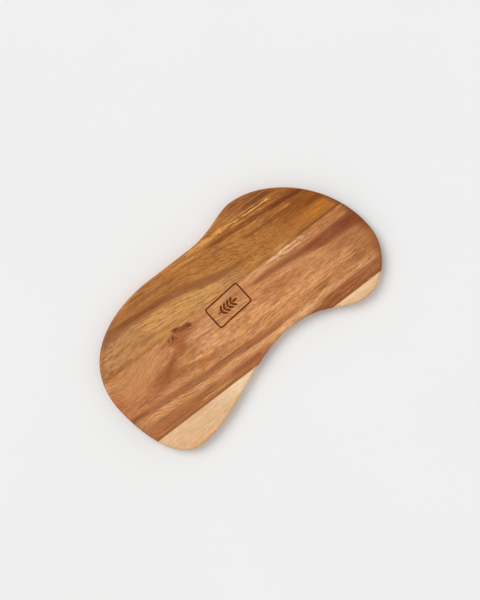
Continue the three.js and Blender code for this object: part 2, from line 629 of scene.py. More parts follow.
class Nodes:
    """The node tree of one material."""

    def __init__(self, name: str) -> None:
        """Starts a material with an empty tree.

        Args:
            name: The material's name.
        """
        self.material = bpy.data.materials.new(name)
        self.material.use_nodes = True
        self.tree = self.material.node_tree
        self.tree.nodes.clear()

    def add(self, kind: str, settings: dict[str, object], inputs: dict[str | int, Value]) -> bpy.types.Node:
        """Adds one node.

        Args:
            kind: The node's type, without the words that all shader nodes share.
            settings: Its properties. The setting points holds the points of a curve.
            inputs: Values or fields for its sockets, by name or number.

        Returns:
            The node.
        """
        node = self.tree.nodes.new(f"ShaderNode{kind}")
        for name, value in settings.items():
            if name == "points":
                self.bend_curve(node, value)
            else:
                setattr(node, name, value)
        for name, value in inputs.items():
            if isinstance(value, Field):
                self.tree.links.new(value.socket, node.inputs[name])
            else:
                node.inputs[name].default_value = value
        return node

    @staticmethod
    def bend_curve(node: bpy.types.Node, points: list[Point]) -> None:
        """Lays a curve node's line through points.

        Args:
            node: The curve node, with its two end points alone.
            points: Points from 0 to 1 each way, from left to right.
        """
        line = node.mapping.curves[0]
        for spot, point in zip(line.points, (points[0], points[-1]), strict=True):
            spot.location = point
        for point in points[1:-1]:
            line.points.new(*point)
        node.mapping.update()

    def math(self, operation: str, *operands: Operand) -> Field:
        """A Math node."""
        node = self.add("Math", {"operation": operation}, dict(enumerate(operands)))
        return Field(self, node.outputs[0])

    def ease(self, value: Operand, low: float, high: float, start: float = 0.0, end: float = 1.0) -> Field:
        """A smooth step: start below low, end above high.

        The step never leaves its two ends, so the node's own clamp is left off. With it on, the renderer
        holds more values at a time than it has room for, and the wood turns black.

        Args:
            value: The value to step on.
            low, high: Where the step begins and ends.
            start, end: What it gives on either side.

        Returns:
            The stepped value.
        """
        settings = {"interpolation_type": "SMOOTHSTEP", "clamp": False}
        inputs = {0: value, 1: low, 2: high, 3: start, 4: end}
        return Field(self, self.add("MapRange", settings, inputs).outputs[0])

    def join(self, x: Operand, y: Operand, z: Operand) -> Field:
        """A vector of three values."""
        return Field(self, self.add("CombineXYZ", {}, {0: x, 1: y, 2: z}).outputs[0])

    def split(self, vector: Field) -> tuple[Field, Field, Field]:
        """The three parts of a vector."""
        node = self.add("SeparateXYZ", {}, {0: vector})
        return Field(self, node.outputs[0]), Field(self, node.outputs[1]), Field(self, node.outputs[2])

    def turned(
        self, vector: Field, degrees: float, centre: Point = (0.0, 0.0), radii: Point = (1.0, 1.0)
    ) -> Field:
        """A vector as it is measured in an oval's own frame.

        Args:
            vector: The place.
            degrees: How far the oval is turned from the grain.
            centre: Where it lies.
            radii: Its half length and half width, which become one unit each.

        Returns:
            The place in the oval.
        """
        inputs = {
            "Vector": vector,
            "Location": (*centre, 0.0),
            "Rotation": (0.0, 0.0, math.radians(degrees)),
            "Scale": (*radii, 1.0),
        }
        return Field(self, self.add("Mapping", {"vector_type": "TEXTURE"}, inputs).outputs[0])

    def noise(self, vector: Field, detail: float, roughness: float) -> Field:
        """Cloudy noise about one half, with features about one unit wide."""
        inputs = {"Vector": vector, "Scale": 1.0, "Detail": detail, "Roughness": roughness}
        return Field(self, self.add("TexNoise", {"noise_dimensions": "3D"}, inputs).outputs[0])

    def mix(self, share: Operand, under: Value, over: Value, blend: str = "MIX") -> Field:
        """One colour laid over another."""
        settings = {"data_type": "RGBA", "blend_type": blend}
        return Field(self, self.add("Mix", settings, {0: share, 6: under, 7: over}).outputs[2])

    def tinted(self, share: Operand, under: Value, over: Value) -> Field:
        """One colour multiplied by another, by a share."""
        return self.mix(share, under, over, "MULTIPLY")

    def millimetres(self) -> Field:
        """The place on the piece, in millimetres."""
        place = Field(self, self.add("TexCoord", {}, {}).outputs["Object"])
        scaled = self.add("VectorMath", {"operation": "SCALE"}, {0: place, "Scale": 1 / MM})
        return Field(self, scaled.outputs[0])

    def surface(self, colour: Value, roughness: Operand, height: Field, relief: float) -> bpy.types.Material:
        """Ends the tree in a plain dielectric surface with a little relief.

        Args:
            colour: Base colour.
            roughness: Of the gloss.
            height: Relief, in units of its depth.
            relief: The relief's depth in metres.

        Returns:
            The finished material.
        """
        bump = self.add("Bump", {}, {"Height": height, "Distance": relief, "Strength": 1.0})
        inputs = {"Base Color": colour, "Roughness": roughness, "Normal": Field(self, bump.outputs[0])}
        shader = self.add("BsdfPrincipled", {}, {**inputs, "Specular IOR Level": SATIN_GLOSS})
        self.add("OutputMaterial", {}, {"Surface": Field(self, shader.outputs[0])})
        return self.material


# What the figure of the wood is made of


@dataclass(frozen=True)
class Grain:
    """A kind of streaky noise: the length, width and depth of its features in millimetres.

    Between low and high the noise goes from its darkest to its lightest.
    """

    length: float
    width: float
    depth: float
    detail: float = 3.0
    roughness: float = 0.55
    low: float = 0.3
    high: float = 0.7

    def noise(self, nodes: Nodes, x: Operand, across: Operand, z: Operand) -> Field:
        """The noise as it comes, drawn out along the grain, about one half."""
        vector = nodes.join(x / self.length, across / self.width, z / self.depth)
        return nodes.noise(vector, self.detail, self.roughness)

    def share(self, nodes: Nodes, x: Operand, across: Operand, z: Operand) -> Field:
        """The noise with its contrast drawn out, from 0 to 1."""
        return nodes.ease(self.noise(nodes, x, across, z), self.low, self.high)

    def tone(self, nodes: Nodes, x: Operand, across: Operand, z: Operand) -> Field:
        """The noise with its contrast drawn out, about nought."""
        return nodes.ease(self.noise(nodes, x, across, z), self.low, self.high, -0.5, 0.5)


@dataclass(frozen=True)
class Place:
    """Where a shader is on the wood, in millimetres and as shares of the spans that curves cover."""

    nodes: Nodes
    x: Field
    across: Field
    z: Field
    flat: Field
    along_share: Field
    across_share: Field

    @classmethod
    def at(cls, x: Field, across: Field, z: Field) -> Place:
        """A place, with its vector in the plane of the top and its two shares.

        Both parts are read back out of the vector, so that the renderer works out nothing that depends on x
        alone before it is wanted. That keeps down how many values it holds at a time.

        Args:
            x, across, z: The place, in millimetres along and across the grain and up from the underside.

        Returns:
            The place.
        """
        nodes = x.nodes
        flat = nodes.join(x, across, 0.0)
        x, across, _ = nodes.split(flat)
        return cls(nodes, x, across, z, flat, x / ALONG_SPAN + 0.5, across / ACROSS_SPAN + 0.5)

    def level(self, path: Path) -> Field:
        """The level of a smooth line through a few points, as a share of the span across the grain."""
        points = [(0.5 + x / ALONG_SPAN, 0.5 + across / ACROSS_SPAN) for x, across in path]
        curve = self.nodes.add("FloatCurve", {"points": points}, {"Value": self.along_share})
        return Field(self.nodes, curve.outputs[0])


@dataclass(frozen=True)
class Streak:
    """A band of wood of another colour that follows a line along the grain.

    Its two half widths reach to where it is half gone. It fades over some length from the ends of its path,
    and breaks up along the grain as much as it is frayed.
    """

    path: Path
    above: float
    below: float
    strength: float = 1.0
    fade_in: float = 14.0
    fade_out: float = 14.0
    frayed: float = 1.0
    tint: Tint = field(kw_only=True)

    def share(self, place: Place, fray: Field) -> Field:
        """The band's share at each place: a smooth hill across its line, broken up by the fray.

        Args:
            place: Where the shader is.
            fray: How full the wood is of the band's colour, about one.

        Returns:
            The share, from 0 to the strength.
        """
        nodes = place.nodes
        offset = place.across_share - place.level(self.path)
        first, last = self.path[0][0], self.path[-1][0]
        band = nodes.ease(offset, 0.0, 2 * self.above / ACROSS_SPAN, 1.0, 0.0)
        band = band * nodes.ease(offset, -2 * self.below / ACROSS_SPAN, 0.0)
        if self.fade_in > NO_FADE:
            band = band * nodes.ease(place.x, first, first + self.fade_in)
        if self.fade_out > NO_FADE:
            band = band * nodes.ease(place.x, last - self.fade_out, last, 1.0, 0.0)
        if self.frayed != 1:
            fray = (fray - 1.0) * self.frayed + 1.0
        return nodes.ease(band * fray, *FRAYED_EDGE, 0.0, self.strength)


@dataclass(frozen=True)
class Oval:
    """A soft oval area, with its own turn from the grain in degrees."""

    centre: Point
    radii: Point
    strength: float
    turn: float = 0.0
    core: float = 0.0

    def share(self, place: Place) -> Field:
        """The area's share at each place: its strength inside the core, and none at its edge.

        Args:
            place: Where the shader is.

        Returns:
            The share, from 0 to the strength.
        """
        nodes = place.nodes
        local = nodes.turned(place.flat, self.turn, self.centre, self.radii)
        inwards = nodes.add("TexGradient", {"gradient_type": "SPHERICAL"}, {"Vector": local}).outputs["Fac"]
        return nodes.ease(Field(nodes, inwards), 0.0, 1.0 - self.core, 0.0, self.strength)


@dataclass(frozen=True)
class Patch(Oval):
    """An oval of another colour laid on the wood."""

    tint: Tint = field(kw_only=True)


@dataclass(frozen=True)
class Ripple:
    """An area where the grain lies askew: short flecks at a turn from the grain, in degrees."""

    area: Oval
    turn: float
    flecks: Grain = Grain(9, 1.7, 3, 2, 0.6)

    def tone(self, place: Place) -> Field:
        """Light and dark of the flecks, about nought."""
        nodes = place.nodes
        local = nodes.turned(nodes.join(place.x, place.across, place.z), self.turn)
        return self.flecks.tone(nodes, *nodes.split(local)) * self.area.share(place)


@dataclass(frozen=True)
class Bend:
    """A line that the fine grain follows, and the level where it would run if the grain were straight."""

    path: Path
    level: float
    above: float
    below: float

    def shift(self, place: Place) -> Field:
        """How far the grain is carried across: with the line where that runs, and less further from it.

        Args:
            place: Where the shader is.

        Returns:
            Millimetres across the grain.
        """
        nodes = place.nodes
        near = nodes.ease(place.across, self.level, self.level + self.above, ACROSS_SPAN, 0.0)
        near = near * nodes.ease(place.across, self.level - self.below, self.level)
        return near * (place.level(self.path) - (0.5 + self.level / ACROSS_SPAN))


@dataclass(frozen=True)
class Spindle:
    """An eye in the grain: lines part at its start, run round it and come together at its end."""

    level: float
    opening: Path
    reach: float

    def shift(self, place: Place) -> Field:
        """How far the grain is carried across: away from the eye's level, by the share that it opens.

        Args:
            place: Where the shader is.

        Returns:
            Millimetres across the grain.
        """
        nodes = place.nodes
        offset = place.across - self.level
        near = nodes.ease(abs(offset), 0.0, self.reach, ACROSS_SPAN, 0.0)
        spread = (place.level(self.opening) - 0.5) * near
        return offset - offset / (spread + 1.0)


@dataclass(frozen=True)
class Blend:
    """How much each kind of fine grain counts in one effect."""

    lines: float = 0.0
    flecks: float = 0.0
    fibres: float = 0.0
    clouds: float = 0.0
    pores: float = 0.0


@dataclass(frozen=True)
class FineGrain:
    """The fine grain at a place, each kind about nought apart from the pores, which go from 0 to 1."""

    flow: Field
    clouds: Field
    lines: Field
    flecks: Field
    fibres: Field
    pores: Field

    def blended(self, blend: Blend, base: float = 0.0) -> Field:
        """The kinds that count, each times its weight, added to a base."""
        return sum((getattr(self, kind) * weight for kind, weight in asdict(blend).items() if weight), base)


# Finishes


class Finish:
    """What a piece's surface is made of."""

    def material(self) -> bpy.types.Material:
        """The material that a piece wears."""
        raise NotImplementedError


@dataclass(frozen=True)
class Wood(Finish):
    """Oiled acacia: a ground, patches and streaks of other colours, lines, flecks, fibres and pores.

    Below the top, the figure moves across the grain by the lean times the depth, and it wanders by a few
    millimetres. The fine grain takes every colour from shade to light, less so in calm areas. The four blends
    say how it frays edges, tones the colour, roughens the gloss and raises the surface.
    """

    name: str
    board: Board
    ground: Tint
    contrast: float = 1.0
    lean: float = 0.45
    wander: float = 2.5
    patches: tuple[Patch, ...] = ()
    streaks: tuple[Streak, ...] = ()
    knots: tuple[Patch, ...] = ()
    bends: tuple[Bend | Spindle, ...] = ()
    ripples: tuple[Ripple, ...] = ()
    calm: tuple[Oval, ...] = ()
    panel: EngravedPanel | None = None
    shade: Colour = (0.70, 0.60, 0.51, 1.0)
    light: Colour = (1.28, 1.345, 1.46, 1.0)
    warm: Colour = (1.035, 0.985, 0.91, 1.0)
    cool: Colour = (0.975, 1.01, 1.10, 1.0)
    pore_tint: Colour = srgb(150, 118, 92)
    pore_share: float = 0.5
    # Darkening where the surface faces along the grain: real end grain, and painted shade on the rims at the
    # head and foot
    end_grain_and_rim_shade_tint: Colour = srgb(190, 165, 140)
    end_grain_and_rim_shade_share: float = 0.6
    end_grain_and_rim_shade_from: float = 0.35
    roughness: float = 0.46
    relief: float = 0.03 * MM
    drift: Grain = Grain(70, 30, 40, 2, 0.5)
    clouds: Grain = Grain(70, 12, 30, 2)
    blush: Grain = Grain(22, 4, 10, 2)
    lines: Grain = Grain(34, 1.6, 5, 3, 0.6, 0.35, 0.65)
    flecks: Grain = Grain(7, 1.1, 2, 2, 0.6, 0.33, 0.67)
    fibres: Grain = Grain(16, 0.5, 0.8, 3, 0.6)
    pores: Grain = Grain(5, 0.24, 0.3, 1, low=0.6, high=0.72)
    fraying: Blend = Blend(lines=1.1, flecks=0.7, fibres=0.5)
    toning: Blend = Blend(lines=0.46, flecks=0.56, fibres=0.42, clouds=0.2)
    roughening: Blend = Blend(fibres=-0.08, pores=0.12)
    raising: Blend = Blend(flecks=0.2, fibres=0.4, pores=-0.6)

    def fine_grain(self, place: Place) -> FineGrain:
        """The fine grain at a place. It follows the bends.

        Args:
            place: Where the shader is.

        Returns:
            Every kind of it.
        """
        flow = place.across
        for bend in self.bends:
            flow = flow - bend.shift(place)
        spot = (place.nodes, place.x, flow, place.z)
        return FineGrain(
            flow=flow,
            clouds=self.clouds.tone(*spot),
            lines=self.lines.tone(*spot),
            flecks=self.flecks.tone(*spot),
            fibres=self.fibres.tone(*spot),
            pores=self.pores.share(*spot),
        )

    def figured(self, place: Place, grain: FineGrain) -> Value:
        """The larger figure: the ground under the patches, the streaks and the knots.

        Args:
            place: Where the shader is.
            grain: The fine grain there, which frays the edges.

        Returns:
            The colour.
        """
        nodes = place.nodes
        fray = grain.blended(self.fraying, 1.0)
        colour = oiled(*self.ground)
        for patch in self.patches:
            colour = nodes.mix(patch.share(place), colour, oiled(*patch.tint))
        for streak in self.streaks:
            colour = nodes.mix(streak.share(place, fray), colour, oiled(*streak.tint))
        for knot in self.knots:
            share = nodes.ease(knot.share(place) * fray, *FRAYED_EDGE)
            colour = nodes.mix(share, colour, oiled(*knot.tint))
        return colour

    def grained(self, colour: Value, place: Place, grain: FineGrain) -> Field:
        """A colour with the light and dark of the fine grain, its warm and cool clouds, pores, and a
        darkening where the surface faces along the grain: real end grain, and painted shade on the rounded
        rims at the head and foot.

        Args:
            colour: The colour of the larger figure.
            place: Where the shader is.
            grain: The fine grain there.

        Returns:
            The colour.
        """
        nodes = place.nodes
        tone = grain.blended(self.toning) * self.contrast
        for area in self.calm:
            tone = tone * (1.0 - area.share(place))
        tone = tone + 0.5
        for ripple in self.ripples:
            tone = tone + ripple.tone(place)
        colour = nodes.tinted(1.0, colour, nodes.mix(tone, self.shade, self.light))
        blush = self.blush.share(nodes, place.x, grain.flow, place.z)
        colour = nodes.tinted(1.0, colour, nodes.mix(blush, self.warm, self.cool))
        colour = nodes.tinted(grain.pores * self.pore_share, colour, self.pore_tint)
        normal = Field(nodes, nodes.add("NewGeometry", {}, {}).outputs["Normal"])
        # Darker where the surface faces along the grain: real end grain, and painted shade on the rims at the
        # head and foot
        end_grain_and_rim_shade = nodes.ease(abs(nodes.split(normal)[0]), self.end_grain_and_rim_shade_from, 1.0)
        return nodes.tinted(end_grain_and_rim_shade * self.end_grain_and_rim_shade_share, colour, self.end_grain_and_rim_shade_tint)

    def material(self) -> bpy.types.Material:
        """Paints the wood as a solid, so that the rims and the underside carry on what the top shows.

        Returns:
            The material.
        """
        nodes = Nodes(self.name)
        x, y, z = nodes.split(nodes.millimetres())
        depth = self.board.thickness / MM - z
        across = y + depth * self.lean
        drift = self.drift.noise(nodes, x, across, z) - 0.5
        place = Place.at(x, across + drift * self.wander, z)
        grain = self.fine_grain(place)
        colour = self.grained(self.figured(place, grain), place, grain)
        roughness = grain.blended(self.roughening, self.roughness)
        if self.panel:
            burnt = self.panel.scorch(x, y, depth)
            colour = nodes.mix(burnt, colour, self.panel.burnt)
            roughness = roughness + burnt * self.panel.burnt_roughness
        return nodes.surface(colour, roughness, grain.blended(self.raising), self.relief)


@dataclass(frozen=True)
class Glue(Finish):
    """Cured glue, sanded flush: amber brown with faint clouds, burnt where the engraving crosses it."""

    board: Board
    panel: EngravedPanel
    name: str = "glue"
    tint: Colour = srgb(132, 92, 54)
    paler: Colour = srgb(160, 116, 72)
    clouds: Grain = Grain(9, 1, 4)
    roughness: float = 0.45
    cloud_roughness: float = 0.1
    relief: float = 0.01 * MM

    def material(self) -> bpy.types.Material:
        """Paints the film.

        Returns:
            The material.
        """
        nodes = Nodes(self.name)
        x, y, z = nodes.split(nodes.millimetres())
        clouds = self.clouds.noise(nodes, x, y, z)
        colour = nodes.mix(clouds, self.tint, self.paler)
        burnt = self.panel.scorch(x, y, self.board.thickness / MM - z)
        colour = nodes.mix(burnt, colour, self.panel.burnt)
        return nodes.surface(colour, clouds * self.cloud_roughness + self.roughness, clouds, self.relief)


def golden_heartwood(board: Board, panel: EngravedPanel) -> Wood:
    """The upper stave: gold towards the foot, browner towards the head, with a dark streak that sinks.

    Args:
        board: The board's sizes.
        panel: The engraving that is burnt into it.

    Returns:
        The finish.
    """
    sinking = (
        (-195, 65), (-150, 65.5), (-120, 66), (-90, 63.6), (-60, 61), (-40, 57.4), (-20, 52.2), (0, 47),
        (20, 43), (60, 39.6), (120, 38.4), (195, 38),
    )
    crest = (
        (-195, 84), (-60, 83), (-10, 80.5), (20, 78.2), (40, 76.2), (60, 75.2), (80, 74), (100, 72),
        (120, 70), (150, 66), (195, 60),
    )
    return Wood(
        name="golden_heartwood",
        board=board,
        panel=panel,
        ground=(180, 119, 60),
        bends=(Bend(sinking, 53, 42, 32), Bend(crest, 76, 42, 34)),
        calm=(Oval((-95, 40), (95, 25), 0.55, 0, 0.4),),
        ripples=(
            Ripple(Oval((50, 46), (62, 24), 0.8, -20, 0.3), -27, Grain(8, 1.6, 3, 2, 0.6)),
            Ripple(Oval((88, 38), (36, 14), 0.6, 0, 0.3), 36, Grain(6, 1.4, 3, 2, 0.6)),
            Ripple(Oval((85, 62), (95, 34), 0.5, 0, 0.4), -7),
            Ripple(Oval((75, 84), (90, 24), 0.75, -6, 0.5), -4, Grain(36, 1.3, 5, 2, 0.6)),
        ),
        patches=(
            Patch((152, 60), (78, 44), 0.95, 0, 0.2, tint=(150, 87, 37)),
            Patch((82, 104), (58, 17), 0.9, 0, 0.3, tint=(158, 98, 54)),
            Patch((108, 92), (30, 9), 0.7, -20, tint=(142, 86, 46)),
            Patch((-80, 80), (80, 12), 0.7, 4, tint=(176, 116, 64)),
            Patch((150, 37), (46, 9), 0.95, 0, 0.2, tint=(192, 120, 50)),
            # Painted shade along the rim towards the foot
            Patch((-165, 50), (48, 30), 0.85, 58, 0.2, tint=(170, 114, 71)),
            Patch((50, 31), (18, 6), 0.6, tint=(198, 141, 80)),
            Patch((84, 26), (20, 5), 0.7, tint=(208, 152, 98)),
            Patch((58, 68.6), (44, 5.5), 0.8, -4, 0.2, tint=(194, 129, 64)),
            Patch((-118, 49), (20, 7), 0.8, tint=(206, 153, 100)),
            Patch((-134, 76), (38, 8), 0.85, 28, tint=(146, 98, 62)),
            Patch((-68, 70.5), (32, 6), 0.75, tint=(186, 128, 70)),
            Patch((-56, 82), (24, 4.5), 0.55, tint=(190, 130, 74)),
            Patch((-150, 51), (26, 10), 0.8, 40, tint=(164, 113, 74)),
            Patch((24, 36.5), (22, 7), 0.8, -12, tint=(166, 107, 50)),
            Patch((100, 63), (46, 6), 0.5, -3, tint=(170, 106, 52)),
            Patch((18, 72.5), (28, 6), 0.55, tint=(188, 128, 70)),
            Patch((-90, 29), (18, 6), 0.75, tint=(184, 130, 68)),
            Patch((-138, 58), (36, 9), 0.75, tint=(162, 112, 73)),
        ),
        streaks=(
            # The gold below the sinking streak, with its thin lines
            Streak(((-195, 42), (-120, 42), (-60, 41), (-20, 35), (10, 30), (60, 26)),
                   17, 40, 0.95, 60, 60, tint=(194, 141, 89)),
            Streak(((-128, 49), (-75, 48), (-45, 43), (-20, 36.5), (22, 30)),
                   9, 11, 0.9, 56, 40, tint=(212, 156, 91)),
            Streak(((-150, 26.8), (-110, 26.4), (-70, 27.4), (-30, 29)),
                   2.8, 3.2, 0.6, 30, 40, tint=(203, 146, 74)),
            Streak(((-126, 36), (-108, 35.3), (-86, 34)), 2, 2.2, 0.6, 14, 18, tint=(152, 104, 58)),
            Streak(((-100, 33.5), (-66, 32)), 1.4, 1.6, 0.5, 12, tint=(170, 122, 62)),
            Streak(((-195, 25), (-150, 24.5), (-100, 24.5), (-76, 25)),
                   2.2, 3, 0.75, 1, 24, tint=(178, 115, 68)),
            # The sinking streak
            Streak(sinking[:10], 3.6, 5.2, 0.92, 1, 78, 1.5, tint=(147, 94, 56)),
            Streak(((-136, 67.2), (-110, 65.4), (-95, 64), (-80, 63.2), (-50, 60.6)),
                   2, 2.4, 0.6, 16, 26, tint=(124, 74, 44)),
            Streak(((-34, 51), (-10, 45), (24, 41)), 2.2, 2.6, 0.6, 18, 24, tint=(152, 98, 56)),
            Streak(((16, 43.5), (35, 41.5), (58, 40)), 1.6, 1.8, 0.6, 12, 16, tint=(148, 91, 42)),
            # Lines above it, towards the foot
            Streak(((-104, 84), (-88, 83.6), (-72, 83)), 1.2, 1.5, 0.65, 10, 10, tint=(130, 76, 42)),
            Streak(((-88, 88), (-58, 87.6)), 1.2, 1.2, 0.55, 10, 10, tint=(136, 84, 48)),
            Streak(((-58, 87), (-43, 86.5)), 1.2, 1.3, 0.6, 5, 5, tint=(138, 80, 54)),
            Streak(((-54, 74.4), (-34, 72.8)), 1.3, 1.4, 0.6, 8, 8, tint=(134, 84, 46)),
            Streak(((-118, 79), (-70, 77), (-34, 76)), 1.3, 1.4, 0.55, 20, 20, tint=(148, 96, 56)),
            Streak(((-45, 83), (-20, 81), (4, 78.5)), 1.6, 1.6, 0.65, 16, 16, tint=(206, 146, 82)),
            Streak(((-32, 79), (0, 75.4), (28, 73.4)), 1.5, 1.6, 0.6, 16, 16, tint=(144, 90, 50)),
            # The crest: a bright band and a dark one that runs out to the rim
            Streak(((-24, 86.4), (10, 86.2), (30, 85.8), (60, 84.8)),
                   2.4, 2.4, 0.9, 24, 30, tint=(216, 155, 84)),
            Streak(((26, 84.4), (50, 83.8), (70, 83), (90, 82.2), (120, 81)),
                   1, 1, 0.95, 20, 20, tint=(226, 166, 94)),
            Streak(((50, 86.8), (75, 86.4), (104, 85.2)), 0.8, 0.8, 0.7, tint=(200, 142, 78)),
            Streak(((44, 81.4), (70, 79), (104, 78)), 0.8, 0.8, 0.65, tint=(208, 146, 78)),
            Streak(crest[2:10], 2.6, 2.8, 0.95, 55, 3, tint=(134, 75, 36)),
            Streak(((94, 70.2), (120, 68.6), (150, 64.8)), 1.8, 1.8, 0.8, 18, 3, tint=(108, 56, 22)),
            Streak(((56, 81.2), (80, 80.4), (112, 79.4)), 0.8, 0.9, 0.8, 14, 12, tint=(114, 66, 30)),
            Streak(((50, 85.2), (72, 84.8), (104, 83.6)), 0.8, 0.8, 0.75, tint=(120, 72, 34)),
            Streak(((16, 81.6), (34, 81.2), (60, 80.4)), 0.8, 0.9, 0.6, 12, tint=(142, 86, 44)),
            # The crown
            Streak(((54, 91.4), (80, 90), (100, 88.8), (128, 86)), 2.8, 2.6, 0.7, 30, 16, tint=(136, 82, 46)),
            Streak(((72, 91.8), (90, 91.2), (116, 89.8)), 0.8, 0.8, 0.75, 14, 10, tint=(112, 64, 36)),
            Streak(((66, 88.6), (88, 88.2), (120, 86.4)), 0.8, 0.8, 0.75, 16, 10, tint=(110, 62, 34)),
            Streak(((78, 95), (116, 93.6)), 0.9, 0.9, 0.65, 14, 10, tint=(120, 68, 38)),
            Streak(((60, 93.4), (84, 93.2), (114, 92)), 0.8, 0.8, 0.45, 12, 12, tint=(190, 130, 80)),
            # Brown wood towards the head
            Streak(((10, 69.8), (25, 68), (40, 65.4)), 1.3, 1.4, 0.6, 9, 9, tint=(126, 78, 38)),
            Streak(((50, 60.8), (75, 59.6), (95, 58.6), (158, 56.2)),
                   1.7, 2, 0.7, 16, 20, tint=(140, 81, 38)),
            Streak(((74, 62.4), (100, 61.6), (132, 60.4)), 0.8, 0.8, 0.65, 12, 12, tint=(200, 132, 76)),
            Streak(((130, 48.4), (160, 47.4), (182, 45)), 3.2, 3, 0.85, 22, 1, tint=(128, 71, 30)),
            Streak(((44, 26), (76, 25.2)), 1.3, 1.4, 0.55, 14, 12, tint=(150, 94, 54)),
            Streak(((100, 25), (140, 24.8), (190, 24.5)), 1.4, 1.5, 0.75, 20, 1, tint=(130, 76, 36)),
        ),
        knots=(
            Patch((-74, 24.4), (10, 3.2), 0.85, -8, 0.1, tint=(114, 56, 22)),
            Patch((177, 38), (52, 17), 0.92, -62, 0.15, tint=(124, 71, 32)),
        ),
    )


